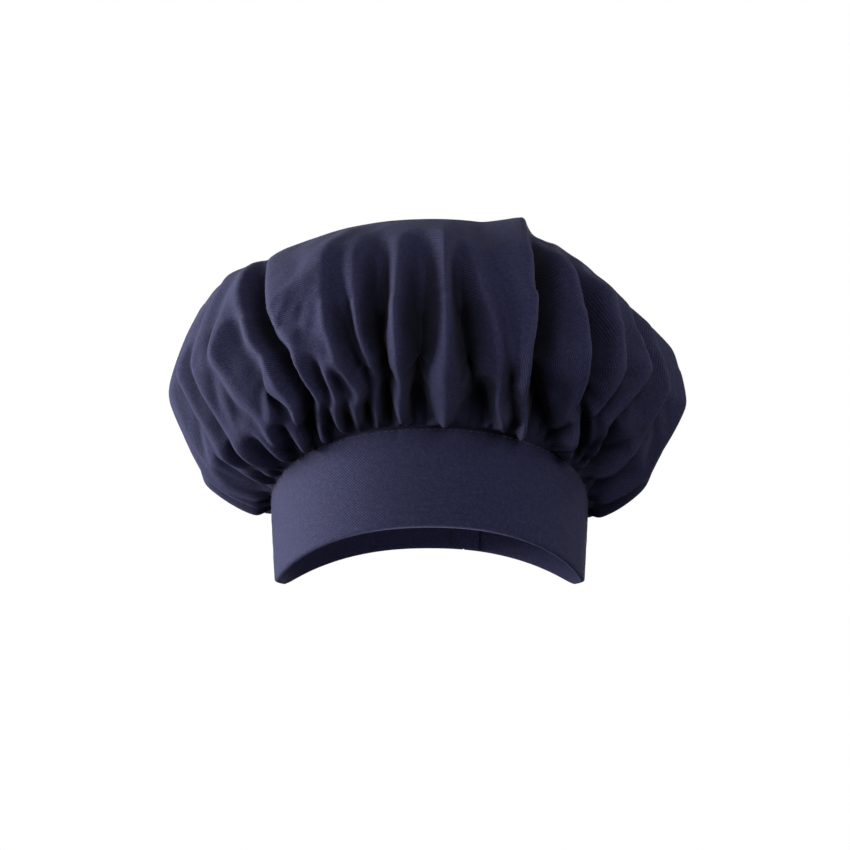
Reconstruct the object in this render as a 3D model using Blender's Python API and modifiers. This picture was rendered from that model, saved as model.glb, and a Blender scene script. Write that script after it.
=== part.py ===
"""A chef's toque: a puffed cloth crown gathered onto a folded headband, with a hook-and-loop tab at the back.

Units are metres. +Z is up, the front of the hat faces -Y, and +X is on the wearer's left.
The origin is on the middle of the head opening, level with the lowest stretches of the band's rim.
"""

import math

import bmesh
import bpy
from mathutils import Vector

# Driving dimensions -------------------------------------------------------------------------
MM = 0.001

BAND_HALF_WIDTH = 88 * MM      # outer face of the band, 580 mm round the head
BAND_HALF_DEPTH = 96.5 * MM
BAND_SQUARENESS = 2.25         # exponent of the band's oval; 2 is an ellipse
BAND_FLARE = 1.03              # the band is this much wider at the crown seam than at the rim

RIM_LIFT = 25 * MM             # how far the rim rises over the brow and the nape
RIM_FLAT = 0.20                # share of the oval's depth, at each side, where the rim runs level
RIM_CURVE = 1.35
SEAM_SIDE_HEIGHT = 41 * MM     # crown seam at its lowest, just behind the ears
SEAM_LIFT = 37 * MM            # how much higher it is at the brow and the nape
SEAM_LOW_SHIFT = 0.15          # how far behind the ears it is lowest, as a share of the oval's depth
SEAM_ROUNDING = 0.15           # keeps the seam smooth at its lowest

CLOTH = 0.6 * MM               # crown cloth
LEAF = 0.7 * MM                # each leaf of the folded band
BAND_THICKNESS = 2.8 * MM
GAP = 0.35 * MM                # between any two pieces

CROWN_HALF_WIDTH = 148 * MM    # at the widest
CROWN_HALF_DEPTH = 143 * MM
CROWN_WIDEST_HEIGHT = 107 * MM
CROWN_TOP = 205 * MM
CROWN_SQUARENESS = 2.15
SEAM_ALLOWANCE = 8 * MM        # gathered edge of the crown, inside the band

SLIT_POSITION = 22 * MM        # opening of band and crown at the back, to the wearer's left
SLIT_WIDTH = 1.0 * MM
CROWN_SLIT_TOP = 34 * MM       # above the crown seam
FACING_WIDTH = 9 * MM          # each side of the crown slit
FACING_RISE = (0.10, 1.05)     # its lower and upper edge, as a rise on the crown
BARTACK_RISE = 1.03
BARTACK_REACH = 3.5 * MM       # each side of the crown slit

UNDERLAP = (15 * MM, 33 * MM)  # strip behind the band's slit
UNDERLAP_THICKNESS = 1.2 * MM
UNDERLAP_DROP = 4 * MM         # its upper edge below the crown seam

TAB_HEIGHT = 36 * MM
TAB_THICKNESS = 1.6 * MM
TAB_HINGE = 28 * MM            # where the free tab leaves its sewn root
TAB_ROOT_END = 44 * MM
TAB_TIP = -36 * MM
TAB_TIP_ROUNDING = 10 * MM
TAPE_HEIGHT = 24 * MM
TAPE_THICKNESS = 1.0 * MM
HOOK_TAPE = (-32 * MM, -4 * MM)
LOOP_TAPE = (-58 * MM, 14 * MM)

LABEL_WIDTH = 28 * MM
LABEL_LENGTH = 30 * MM
LABEL_THICKNESS = 0.5 * MM
LABEL_DROP = 7 * MM            # its sewn edge below the crown seam
LABEL_STAND_OFF = 4 * MM       # it hangs this far inside the band

THREAD = 0.25 * MM             # radius of sewing thread
STITCH_INSET = 2 * MM          # from an edge to the stitches along it

RING_STEPS = 64
BACK = math.pi                 # azimuth of the nape; the brow is 0

# Materials -----------------------------------------------------------------------------------
NAVY_TWILL = (0.030, 0.031, 0.075)
NAVY_THREAD = (0.040, 0.042, 0.090)
NAVY_TAPE = (0.018, 0.019, 0.045)
INTERFACING_WHITE = (0.70, 0.70, 0.67)
LABEL_WHITE = (0.78, 0.78, 0.76)


def material(name, colour, roughness):
    made = bpy.data.materials.new(name)
    made.use_nodes = True
    shader = made.node_tree.nodes["Principled BSDF"]
    shader.inputs["Base Color"].default_value = (*colour, 1)
    shader.inputs["Roughness"].default_value = roughness
    shader.inputs["Metallic"].default_value = 0
    return made


# Curves that the pieces follow ------------------------------------------------------------------
def rounded(value, exponent):
    """A signed power, which squares off a circle."""
    return math.copysign(abs(value) ** exponent, value)


def oval(azimuth, offset=0.0, scale=1.0):
    """A point of the band's oval in plan, moved outwards by offset."""
    power = 2 / BAND_SQUARENESS
    half_width = BAND_HALF_WIDTH * scale + offset
    half_depth = BAND_HALF_DEPTH * scale + offset
    return Vector((half_width * rounded(math.sin(azimuth), power),
                   -half_depth * rounded(math.cos(azimuth), power)))


def rim_height(azimuth):
    """The rim: level above the ears, rising to the brow and the nape."""
    away = max(0.0, abs(math.cos(azimuth)) - RIM_FLAT) / (1 - RIM_FLAT)
    return RIM_LIFT * away ** RIM_CURVE


def seam_height(azimuth):
    """The line where the crown is sewn to the band."""
    forward = math.cos(azimuth) + SEAM_LOW_SHIFT
    reach = 1 + math.copysign(SEAM_LOW_SHIFT, forward)
    share = math.hypot(forward / reach, SEAM_ROUNDING) - SEAM_ROUNDING
    return SEAM_SIDE_HEIGHT + SEAM_LIFT * share / (math.hypot(1, SEAM_ROUNDING) - SEAM_ROUNDING)


def band_point(azimuth, height, offset=0.0):
    """A point on the band's outer face, or offset outwards from it, at a height above the origin."""
    rim, seam = rim_height(azimuth), seam_height(azimuth)
    share = min(1.0, max(0.0, (height - rim) / (seam - rim)))
    plan = oval(azimuth, offset, 1 + (BAND_FLARE - 1) * share)
    return Vector((plan.x, plan.y, height))


def back_azimuth(along):
    """The azimuth of a place at the nape, given its distance from the middle in X."""
    return BACK - math.asin(rounded(along / BAND_HALF_WIDTH, BAND_SQUARENESS / 2))


def band_middle(azimuth):
    return (rim_height(azimuth) + seam_height(azimuth)) / 2


def closure_point(along, up, offset):
    """A point at the nape, at a height from the band's middle line."""
    azimuth = back_azimuth(along)
    return band_point(azimuth, band_middle(azimuth) + up, offset)


def crown_point(azimuth, rise, offset=0.0):
    """A point of the crown: rise runs from 0 at the seam, by 1 at the widest line, to 2 at the top."""
    seam = oval(azimuth, -BAND_THICKNESS / 2, BAND_FLARE)
    widest = Vector(((CROWN_HALF_WIDTH + offset) * math.sin(azimuth),
                     -(CROWN_HALF_DEPTH + offset) * math.cos(azimuth)))
    seam_z = seam_height(azimuth) + CLOTH
    if rise <= 1:
        turn = rise * math.pi / 2
        plan = seam.lerp(widest, math.sin(turn))
        height = CROWN_WIDEST_HEIGHT - (CROWN_WIDEST_HEIGHT - seam_z + offset) * math.cos(turn)
        return Vector((plan.x, plan.y, height))
    turn = (rise - 1) * math.pi / 2
    power = 2 / CROWN_SQUARENESS
    plan = widest * rounded(math.cos(turn), power)
    height = CROWN_WIDEST_HEIGHT + (CROWN_TOP - CROWN_WIDEST_HEIGHT + offset) * math.sin(turn) ** power
    return Vector((plan.x, plan.y, height))


# Shape makers ----------------------------------------------------------------------------------
def add_object(name, mesh, surface):
    made = bpy.data.objects.new(name, mesh)
    mesh.materials.append(surface)
    toque.objects.link(made)
    return made


def mesh_from(name, shape):
    mesh = bpy.data.meshes.new(name)
    shape.to_mesh(mesh)
    shape.free()
    mesh.shade_smooth()
    mesh.set_sharp_from_angle(angle=math.radians(40))
    return mesh


def thicken(made, thickness, centred=True):
    solid = made.modifiers.new("thickness", "SOLIDIFY")
    solid.thickness = thickness
    solid.offset = 0 if centred else 1
    solid.use_even_offset = True


def wrapped_sheet(name, surface, place, steps_along, steps_up, thickness):
    """A sheet of cloth: a grid whose points, from 0 to 1 along and up, are put in place by a rule."""
    shape = bmesh.new()
    bmesh.ops.create_grid(shape, x_segments=steps_along, y_segments=steps_up, size=0.5)
    for vertex in shape.verts:
        vertex.co = place(vertex.co.x + 0.5, vertex.co.y + 0.5)
    made = add_object(name, mesh_from(name, shape), surface)
    thicken(made, thickness)
    return made


def thread(name, surface, points, closed=False):
    """A run of sewing thread along points."""
    curve = bpy.data.curves.new(name, "CURVE")
    curve.dimensions = "3D"
    curve.bevel_depth = THREAD
    curve.bevel_resolution = 1
    curve.use_fill_caps = not closed
    run = curve.splines.new("POLY")
    run.points.add(len(points) - 1)
    for knot, point in zip(run.points, points):
        knot.co = (*point, 1)
    run.use_cyclic_u = closed
    made = bpy.data.objects.new(name, curve)
    curve.materials.append(surface)
    toque.objects.link(made)
    return made


def spread(start, end, steps):
    return [start + (end - start) * step / steps for step in range(steps + 1)]


def cut(target, cutter, name):
    difference = target.modifiers.new(name, "BOOLEAN")
    difference.operation = "DIFFERENCE"
    difference.object = cutter


# The band's run goes from one edge of the slit, round by the brow, to the other edge -------------
SLIT_AZIMUTH = back_azimuth(SLIT_POSITION)
SLIT_HALF_TURN = SLIT_WIDTH / 2 / BAND_HALF_WIDTH
RUN_START = SLIT_AZIMUTH - 2 * math.pi + SLIT_HALF_TURN
RUN_END = SLIT_AZIMUTH - SLIT_HALF_TURN


def run_azimuth(along):
    return RUN_START + (RUN_END - RUN_START) * along


def make_headband(surface):
    """One strip of cloth folded along the rim: outer leaf, a pressed fold, inner leaf."""
    outer = -LEAF / 2
    inner = -BAND_THICKNESS + LEAF / 2
    top = GAP + LEAF / 2
    section = ((1.0, outer), (0.5, outer), (0.0, outer), (0.0, inner), (0.5, inner), (1.0, inner))

    def place(along, up):
        azimuth = run_azimuth(along)
        share, offset = section[round(up * (len(section) - 1))]
        low = rim_height(azimuth) + LEAF / 2
        high = seam_height(azimuth) - top
        return band_point(azimuth, low + (high - low) * share, offset)

    return wrapped_sheet("headband", surface, place, RING_STEPS, len(section) - 1, LEAF)


def make_interfacing(surface):
    """The stiff strip that lies between the leaves of the band."""
    def place(along, up):
        azimuth = run_azimuth(0.002 + 0.996 * along)
        low = rim_height(azimuth) + LEAF + GAP
        high = seam_height(azimuth) - SEAM_ALLOWANCE - 2 * GAP - 4 * THREAD
        return band_point(azimuth, low + (high - low) * up, -BAND_THICKNESS / 2)

    return wrapped_sheet("band_interfacing", surface, place, RING_STEPS, 1, CLOTH)


def make_crown(surface):
    """A sphere whose rings are moved onto the crown, open at the bottom where the head goes in."""
    shape = bmesh.new()
    rings = 16
    allowance_rings = 2
    bmesh.ops.create_uvsphere(shape, u_segments=RING_STEPS, v_segments=rings, radius=1)
    bottom = min(shape.verts, key=lambda vertex: vertex.co.z)
    bmesh.ops.delete(shape, geom=[bottom], context="VERTS")
    for vertex in shape.verts:
        ring = round((math.asin(max(-1, min(1, vertex.co.z))) / math.pi + 0.5) * rings)
        azimuth = math.atan2(vertex.co.x, -vertex.co.y)
        if ring < allowance_rings:
            down = SEAM_ALLOWANCE * (allowance_rings - ring) / allowance_rings
            vertex.co = band_point(azimuth, seam_height(azimuth) - down, -BAND_THICKNESS / 2)
        else:
            rise = 2 * (ring - allowance_rings) / (rings - allowance_rings)
            vertex.co = crown_point(azimuth, rise)
    made = add_object("crown", mesh_from("crown", shape), surface)
    thicken(made, CLOTH)
    return made


def make_slit_cutter():
    """The block that opens the crown above the band's slit."""
    low = seam_height(SLIT_AZIMUTH) - 2 * SEAM_ALLOWANCE
    high = seam_height(SLIT_AZIMUTH) + CROWN_SLIT_TOP
    shape = bmesh.new()
    bmesh.ops.create_cube(shape, size=1)
    bmesh.ops.scale(shape, verts=shape.verts, vec=(SLIT_WIDTH, 2 * BAND_HALF_DEPTH, high - low))
    mesh = bpy.data.meshes.new("slit_cutter")
    shape.to_mesh(mesh)
    shape.free()
    made = bpy.data.objects.new("slit_cutter", mesh)
    made.location = (SLIT_POSITION * BAND_FLARE, 1.5 * BAND_HALF_DEPTH, (low + high) / 2)
    made.hide_render = True
    made.display_type = "WIRE"
    cutters.objects.link(made)
    return made


def crown_at_back(across, rise):
    """A point just outside the crown at the nape, at a given X. The azimuth is found by repeated correction."""
    azimuth = back_azimuth(across)
    for _ in range(5):
        point = crown_point(azimuth, rise, CLOTH + GAP)
        azimuth = BACK - (BACK - azimuth) * across / point.x
    return point


def make_slit_facing(surface):
    """The binding sewn round the crown's slit."""
    middle = SLIT_POSITION * BAND_FLARE

    low, high = FACING_RISE

    def place(along, up):
        return crown_at_back(middle + FACING_WIDTH * (2 * along - 1), low + (high - low) * up)

    return wrapped_sheet("crown_slit_facing", surface, place, 12, 8, CLOTH)


def make_underlap(surface, sewing):
    """The doubled strip behind the band's slit, sewn on the tab's side and free on the other."""
    inner_face = -BAND_THICKNESS - GAP

    def place(along, up):
        azimuth = back_azimuth(UNDERLAP[0] + (UNDERLAP[1] - UNDERLAP[0]) * along)
        low = rim_height(azimuth) + GAP
        high = seam_height(azimuth) - UNDERLAP_DROP
        return band_point(azimuth, low + (high - low) * up, inner_face - UNDERLAP_THICKNESS / 2)

    wrapped_sheet("band_underlap", surface, place, 6, 4, UNDERLAP_THICKNESS)
    azimuth = back_azimuth(UNDERLAP[1] - STITCH_INSET)
    low = rim_height(azimuth) + GAP + STITCH_INSET
    high = seam_height(azimuth) - UNDERLAP_DROP - STITCH_INSET
    level = inner_face - UNDERLAP_THICKNESS - GAP - THREAD
    thread("underlap_stitch", sewing, [band_point(azimuth, height, level) for height in spread(low, high, 4)])


def closure_sheet(name, surface, low_along, high_along, height, offset, thickness, tip_rounding=0.0):
    """A strip at the nape, from one place to another along the band."""
    def place(along, up):
        position = low_along + (high_along - low_along) * along
        half = height / 2
        into_tip = low_along + tip_rounding - position
        if into_tip > 0:
            half -= tip_rounding - math.sqrt(max(0.0, tip_rounding ** 2 - into_tip ** 2))
        return closure_point(position, half * (2 * up - 1), offset(position) + thickness / 2)

    return wrapped_sheet(name, surface, place, 16, 4, thickness)


def tape_level(number):
    """Lowest face of the layers that lie on the band at the nape, counted outwards from 0."""
    return GAP + number * (TAPE_THICKNESS + GAP)


def tab_offset(position):
    """Inner face of the tab: against the band at the root, over both tapes further on."""
    share = min(1.0, max(0.0, (TAB_ROOT_END - position) / (TAB_ROOT_END - HOOK_TAPE[1])))
    smooth = share * share * (3 - 2 * share)
    return GAP + (tape_level(2) - GAP) * smooth


def make_closure(cloth, tape, sewing):
    """The tab with its hook tape, the loop tape and their stitches. Returns the pieces that swing."""
    tab = closure_sheet("closure_tab", cloth, TAB_TIP, TAB_HINGE - GAP, TAB_HEIGHT, tab_offset,
                        TAB_THICKNESS, TAB_TIP_ROUNDING)
    closure_sheet("closure_tab_root", cloth, TAB_HINGE, TAB_ROOT_END, TAB_HEIGHT, tab_offset, TAB_THICKNESS)
    hook = closure_sheet("hook_tape", tape, *HOOK_TAPE, TAPE_HEIGHT, lambda position: tape_level(1),
                         TAPE_THICKNESS)
    closure_sheet("loop_tape", tape, *LOOP_TAPE, TAPE_HEIGHT, lambda position: tape_level(0),
                  TAPE_THICKNESS)
    inset = STITCH_INSET
    half = TAPE_HEIGHT / 2 - inset
    hook_stitch = stitched_box("hook_tape_stitch", sewing, HOOK_TAPE[0] + inset, HOOK_TAPE[1] - inset,
                               half, lambda position: tab_offset(position) + TAB_THICKNESS)
    stitched_box("loop_tape_stitch", sewing, LOOP_TAPE[0] + inset, LOOP_TAPE[1] - inset, half,
                 lambda position: -BAND_THICKNESS - 2 * (GAP + THREAD))
    stitched_box("tab_root_stitch", sewing, TAB_HINGE + inset, TAB_ROOT_END - inset,
                 TAB_HEIGHT / 2 - inset, lambda position: tab_offset(position) + TAB_THICKNESS)
    edge_stitch = make_tab_edge_stitch(sewing)
    return (tab, hook, hook_stitch, edge_stitch)


def stitched_box(name, surface, low_along, high_along, half_height, face):
    """Stitches in a rectangle, standing just off a face."""
    corners = []
    for position in spread(low_along, high_along, 6):
        corners.append((position, -half_height))
    for position in spread(high_along, low_along, 6):
        corners.append((position, half_height))
    points = [closure_point(position, up, face(position) + GAP + THREAD) for position, up in corners]
    return thread(name, surface, points, closed=True)


def make_tab_edge_stitch(surface):
    """The row of stitches that runs round the free edge of the tab."""
    half = TAB_HEIGHT / 2 - STITCH_INSET
    rounding = TAB_TIP_ROUNDING - STITCH_INSET
    tip = TAB_TIP + STITCH_INSET
    outline = [(position, half) for position in spread(TAB_HINGE - 4 * MM, tip + rounding, 8)]
    for turn in spread(0.0, math.pi / 2, 5)[1:]:
        outline.append((tip + rounding * (1 - math.sin(turn)), half - rounding * (1 - math.cos(turn))))
    outline += [(position, -up) for position, up in reversed(outline)]
    level = TAB_THICKNESS + GAP + THREAD
    points = [closure_point(position, up, tab_offset(position) + level) for position, up in outline]
    return thread("tab_edge_stitch", surface, points)


def make_band_threads(surface):
    """The rows of stitches round the band, and the thread that draws up the crown's edge."""
    runs = (
        ("topstitch_thread", STITCH_INSET, GAP + THREAD),
        ("topstitch_bobbin_thread", STITCH_INSET, -BAND_THICKNESS - GAP - THREAD),
        ("gathering_thread", SEAM_ALLOWANCE + GAP + 2 * THREAD, -BAND_THICKNESS / 2),
    )
    for name, below_seam, offset in runs:
        points = []
        for along in spread(0.001, 0.999, RING_STEPS):
            azimuth = run_azimuth(along)
            points.append(band_point(azimuth, seam_height(azimuth) - below_seam, offset))
        thread(name, surface, points)


def make_slit_bartack(surface):
    """A short bar of thread that stops the crown's slit tearing further."""
    middle = SLIT_POSITION * BAND_FLARE
    points = []
    for across in spread(middle - BARTACK_REACH, middle + BARTACK_REACH, 4):
        point = crown_at_back(across, BARTACK_RISE)
        point.y += 2 * GAP + THREAD
        points.append(point)
    return thread("slit_bartack", surface, points)


def make_label(surface, sewing):
    """A blank care label, sewn by its upper edge inside the nape."""
    top = seam_height(BACK) - LABEL_DROP
    face = band_point(BACK, top, -BAND_THICKNESS).y
    shape = bmesh.new()
    bmesh.ops.create_cube(shape, size=1)
    bmesh.ops.scale(shape, verts=shape.verts, vec=(LABEL_WIDTH, LABEL_THICKNESS, LABEL_LENGTH))
    bmesh.ops.translate(shape, verts=shape.verts, vec=(0, 0, -LABEL_LENGTH / 2))
    label = add_object("care_label", mesh_from("care_label", shape), surface)
    label.location = (0, face - LABEL_STAND_OFF, top)
    corner = LABEL_WIDTH / 2 - STITCH_INSET
    height = top + GAP + 2 * THREAD
    thread("care_label_stitch", sewing,
           [band_point(back_azimuth(across), height, -BAND_THICKNESS - GAP - THREAD)
            for across in spread(-corner, corner, 4)])
    return label


def hinge_empty(name, place):
    empty = bpy.data.objects.new(name, None)
    empty.location = place
    toque.objects.link(empty)
    return empty


def parent_to(empty, pieces):
    bpy.context.view_layer.update()
    for piece in pieces:
        piece.parent = empty
        piece.matrix_parent_inverse = empty.matrix_world.inverted()


# The object --------------------------------------------------------------------------------------
for leftover in list(bpy.data.objects):
    bpy.data.objects.remove(leftover)

toque = bpy.data.collections.new("chef_toque")
cutters = bpy.data.collections.new("cutters")
bpy.context.scene.collection.children.link(toque)
bpy.context.scene.collection.children.link(cutters)

twill = material("navy_twill", NAVY_TWILL, 0.85)
sewing_thread = material("navy_thread", NAVY_THREAD, 0.6)
fastener_tape = material("navy_tape", NAVY_TAPE, 0.95)
interfacing = material("interfacing", INTERFACING_WHITE, 0.9)
label_cloth = material("label_satin", LABEL_WHITE, 0.45)

make_headband(twill)
make_interfacing(interfacing)
crown = make_crown(twill)
facing = make_slit_facing(twill)
slit_cutter = make_slit_cutter()
cut(crown, slit_cutter, "slit")
cut(facing, slit_cutter, "slit")
make_slit_bartack(sewing_thread)
make_underlap(twill, sewing_thread)
make_band_threads(sewing_thread)
swinging = make_closure(twill, fastener_tape, sewing_thread)
care_label = make_label(label_cloth, sewing_thread)

hinge_position = TAB_HINGE - GAP / 2
hinge_face = tab_offset(TAB_HINGE) + TAB_THICKNESS
hinge_top = closure_point(hinge_position, TAB_HEIGHT / 2, hinge_face)
hinge_bottom = closure_point(hinge_position, -TAB_HEIGHT / 2, hinge_face)
hinge_line = (hinge_bottom - hinge_top).normalized()
tab_hinge = hinge_empty("tab_hinge", (hinge_top + hinge_bottom) / 2)
tab_hinge.rotation_euler = hinge_line.to_track_quat("Z", "Y").to_euler()
parent_to(tab_hinge, swinging)
print("tab hinge", [round(value, 5) for value in tab_hinge.location], [round(value, 5) for value in hinge_line])
print("label hinge", [round(value, 5) for value in care_label.location])
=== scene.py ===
"""The looks of a chef's toque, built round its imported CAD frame.

Units are metres, in the frame's own axes: +Z up, the brow faces -Y, +X is on the wearer's left.
Azimuth 0 is the brow, +90 degrees the wearer's left ear, 180 degrees the nape.
"""

import math

import bmesh
import bpy
import numpy as np
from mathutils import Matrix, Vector


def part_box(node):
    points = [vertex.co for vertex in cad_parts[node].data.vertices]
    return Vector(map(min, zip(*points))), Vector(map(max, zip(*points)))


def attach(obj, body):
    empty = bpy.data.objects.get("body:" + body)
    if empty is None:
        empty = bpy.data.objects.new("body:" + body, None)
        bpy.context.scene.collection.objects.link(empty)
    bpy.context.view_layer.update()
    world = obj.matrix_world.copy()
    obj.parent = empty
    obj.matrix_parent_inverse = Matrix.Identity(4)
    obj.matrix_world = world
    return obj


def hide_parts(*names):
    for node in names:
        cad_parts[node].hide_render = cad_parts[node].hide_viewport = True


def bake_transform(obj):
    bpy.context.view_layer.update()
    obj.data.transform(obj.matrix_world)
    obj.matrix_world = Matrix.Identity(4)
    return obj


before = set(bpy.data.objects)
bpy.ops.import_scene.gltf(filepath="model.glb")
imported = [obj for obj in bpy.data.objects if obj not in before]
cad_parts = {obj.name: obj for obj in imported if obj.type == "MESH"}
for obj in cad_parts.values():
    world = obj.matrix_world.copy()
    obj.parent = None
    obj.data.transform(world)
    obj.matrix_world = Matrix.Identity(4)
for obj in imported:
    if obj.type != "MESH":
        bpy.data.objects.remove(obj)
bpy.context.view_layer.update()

MM = 0.001
TURN = 2 * math.pi
GAP = 0.35 * MM              # between one layer of cloth and the next
RANDOM = np.random.default_rng(11)

# ---- Driving dimensions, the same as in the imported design
BAND_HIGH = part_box("headband")[1]
CROWN_LOW, CROWN_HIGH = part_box("crown")
BAND_FLARE = 1.03
BAND_HALF_WIDTH = BAND_HIGH.x / BAND_FLARE
BAND_HALF_DEPTH = BAND_HIGH.y / BAND_FLARE
BAND_SQUARENESS = 2.25
RIM_LIFT = 25 * MM
RIM_FLAT = 0.20
RIM_CURVE = 1.35
SEAM_HIGH = BAND_HIGH.z + GAP
SEAM_SIDE_HEIGHT = 41 * MM
SEAM_LOW_SHIFT = 0.15
SEAM_ROUNDING = 0.15
CLOTH = 0.6 * MM
LEAF = 0.7 * MM
BAND_THICKNESS = 2.8 * MM
CROWN_HALF_WIDTH = 0.97 * CROWN_HIGH.x
CROWN_HALF_DEPTH = -CROWN_LOW.y
CROWN_TOP = CROWN_HIGH.z
CROWN_WIDEST_HEIGHT = 107 * MM
CROWN_SQUARENESS = 2.15
SEAM_ALLOWANCE = 8 * MM
SLIT_POSITION = 22 * MM
SLIT_WIDTH = 1.0 * MM
CROWN_SLIT_TOP = 1.02        # as a rise on the crown
SLIT_HALF_TURN = 0.0045      # half the slit's width, as an angle
FACING_WIDTH = 9 * MM
FACING_RISE = (0.10, 1.05)
BARTACK_RISE = 1.03
BARTACK_REACH = 3.5 * MM
UNDERLAP = (15 * MM, 33 * MM)
UNDERLAP_THICKNESS = 1.2 * MM
UNDERLAP_DROP = 4 * MM
TAB_HEIGHT = 36 * MM
TAB_THICKNESS = 1.6 * MM
TAB_HINGE = 28 * MM
TAB_ROOT_END = 44 * MM
TAB_TIP = -36 * MM
TAB_TIP_ROUNDING = 10 * MM
TAPE_HEIGHT = 24 * MM
TAPE_THICKNESS = 1.0 * MM
HOOK_TAPE = (-32 * MM, -4 * MM)
LOOP_TAPE = (-58 * MM, 14 * MM)
LABEL_WIDTH = 28 * MM
LABEL_LENGTH = 30 * MM
LABEL_THICKNESS = 0.5 * MM
LABEL_DROP = 7 * MM
LABEL_STAND_OFF = 4 * MM
THREAD = 0.25 * MM
STITCH_INSET = 2 * MM
STITCH_LENGTH = 3.0 * MM
STITCH_SPACE = 0.7 * MM

# ---- The looks of the headband, closure and label
BAND_FOLD = 0.08             # share of the strip's width that goes round the fold
BAND_WAVE = 0.5 * MM         # the outer leaf stands this far off the stiff strip, at most
BAND_PRESS = 0.35 * MM       # the seam draws each leaf in by this much
BAND_PUCKER = 0.28 * MM      # and puckers it by this much
UNDERLAP_SWAY = 0.15 * MM
FACING_LIFT = 0.15 * MM      # the slit's binding lies this far off the crown
EDGE_ANGLE = math.radians(50)  # edges of cloth sharper than this are softened
PILE_SPACING = 1.15 * MM
PILE_HEIGHT = 0.3 * MM
# A hook or loop of the pile is a thread with three sides.
PILE_SECTION = 0.06 * MM * np.array([(1, 0, 0), (-0.5, 0, 0.87), (-0.5, 0, -0.87)])
LABEL_HEAD = 3.5 * MM        # the label's sewn edge reaches this far above its hinge
LABEL_BEND = 7 * MM          # and below the hinge it takes this length to hang free

# ---- The crown's cloth
CROWN_SHIFT = -2 * MM        # the crown sits off the middle, to the wearer's right,
CROWN_LEAN = 5 * MM          # and its upper part leans further
CROWN_COLUMNS = 384
CROWN_SPACING = 4.5 * MM     # between rings of points,
SEAM_SPACING = 2.0 * MM      # and between the first few, near the seam
SEAM_RINGS = 5
CROWN_RADIUS = 275 * MM      # of the round of cloth, to its seam
GATHER_EASE = 0.25           # the uncut cloth is wider than its intended folds, most of all at the seam
GATHER_FADE = 0.25           # and this fades over about this rise
FOLD_EASE = 0.05             # more ease near the widest line
CRINKLES = 104               # small gathers along the seam
CRINKLE_HEIGHT = 2.5 * MM
CRINKLE_LENGTH = 10 * MM     # from the seam up, until they fade

# The puffed shape is a little flat between these rises, given at azimuths in degrees.
FACET_AZIMUTHS = (-90, -45, 0, 45, 90, 180)
FACET_RISES = (
    (0.48, 0.42, 0.50, 0.46, 0.48, 0.42),
    (1.00, 1.06, 1.08, 1.02, 0.95, 0.98),
    (1.35, 1.42, 1.45, 1.30, 1.11, 1.32),
    (1.71, 1.72, 1.76, 1.70, 1.64, 1.66),
)
FLATNESS = (0.5, 0.9, 0.9, 0.95, 0.2)  # of each facet at the sides, from the seam up
FRONT_FLATNESS = 0.35        # and the share of that in front and behind
FULLNESS = (1.0, 1.15, 0.82, 1.0, 1.0, 0.95)  # exponents of the underside; 1 is a quarter of an ellipse

# The creases of the front, in order round the crown. Each has its azimuth in degrees at four rises, the rise
# where it fades out, and its height in millimetres: ridges are positive, valleys negative.
CREASE_RISES = (0.0, 0.5, 1.0, 1.4)
FRONT_CREASES = (
    (-80, -79, -80, -82, 1.45, 4),
    (-76, -74, -75, -78, 1.30, -6),
    (-72, -64, -66, -68, 1.40, 4),
    (-68, -60, -62, -65, 1.20, -4),
    (-64, -56, -58, -62, 1.60, 5),
    (-58, -49, -53, -58, 1.35, -3.5),
    (-54, -42, -48, -56, 1.45, 4.5),
    (-48, -37, -40, -54, 1.30, -7),
    (-42, -32, -34, -52, 1.70, 6),
    (-38, -28.5, -31.5, -49, 1.62, -24),
    (-35, -26, -28, -44, 1.70, 4),
    (-30, -23.5, -24, -32, 1.05, -11),
    (-27, -21, -21.5, -29, 1.00, 2),
    (-24, -18.7, -20, -28, 0.90, -11),
    (-21, -15.5, -18.5, -26, 1.60, 3),
    (-17, -12.7, -15, -22, 1.40, -17),
    (-14, -11, -12.5, -17, 1.60, 4),
    (-10.5, -9, -10, -12, 1.58, -28),
    (-7, -6.5, -6.3, -7.5, 1.60, 6),
    (-3, -2.6, -1.4, -1, 1.55, -25),
    (3, 4, 4, 5, 1.70, 7),
    (13, 10.5, 9, 7.5, 1.50, -23),
    (22, 17, 14.3, 10.5, 1.60, 6),
    (26, 19.7, 17, 15, 0.95, -10),
    (29, 22, 20.7, 27, 2.00, 14),
    (31.5, 23.5, 22.4, 29.5, 1.72, -30),
    (35, 25.6, 25, 31, 1.60, -24),
    (40, 29.5, 28.5, 34, 1.40, -7),
    (52, 38, 35.3, 38, 1.75, 7),
    (56, 40, 38.5, 44, 1.55, -24),
    (58, 44, 45, 50, 1.60, 4),
    (60, 46, 49, 54, 1.35, -9),
    (62, 49.5, 54, 59, 1.50, 4),
    (65, 54, 60, 64, 1.40, -20),
    (70, 65, 67, 69, 1.45, 3),
    (76, 73, 74, 75, 1.30, -12),
)
# Shallow ridges that cross the others: height and width in millimetres, then places as (degrees, rise).
CROSS_CREASES = (
    (3.5, 12, ((-53, 1.42), (-44, 1.30), (-37, 1.20), (-32, 1.22), (-28, 1.27), (-28, 1.36), (-33, 1.46),
               (-36, 1.60))),
    (3.0, 9, ((-26, 1.34), (-26, 1.46), (-28, 1.64))),
    (3.5, 10, ((-52, 1.40), (-49, 1.22), (-49, 1.04), (-57, 1.06))),
    (2.5, 9, ((-18, 1.62), (-4, 1.56), (6, 1.46), (7, 1.36))),
    (3.5, 11, ((58, 1.62), (64, 1.46), (48, 1.20), (50, 1.06), (62, 0.97))),
    (3.0, 9, ((40, 1.62), (37, 1.28), (41, 1.10))),
    (2.5, 10, ((-72, 1.30), (-64, 1.12), (-70, 0.95))),
)
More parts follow.
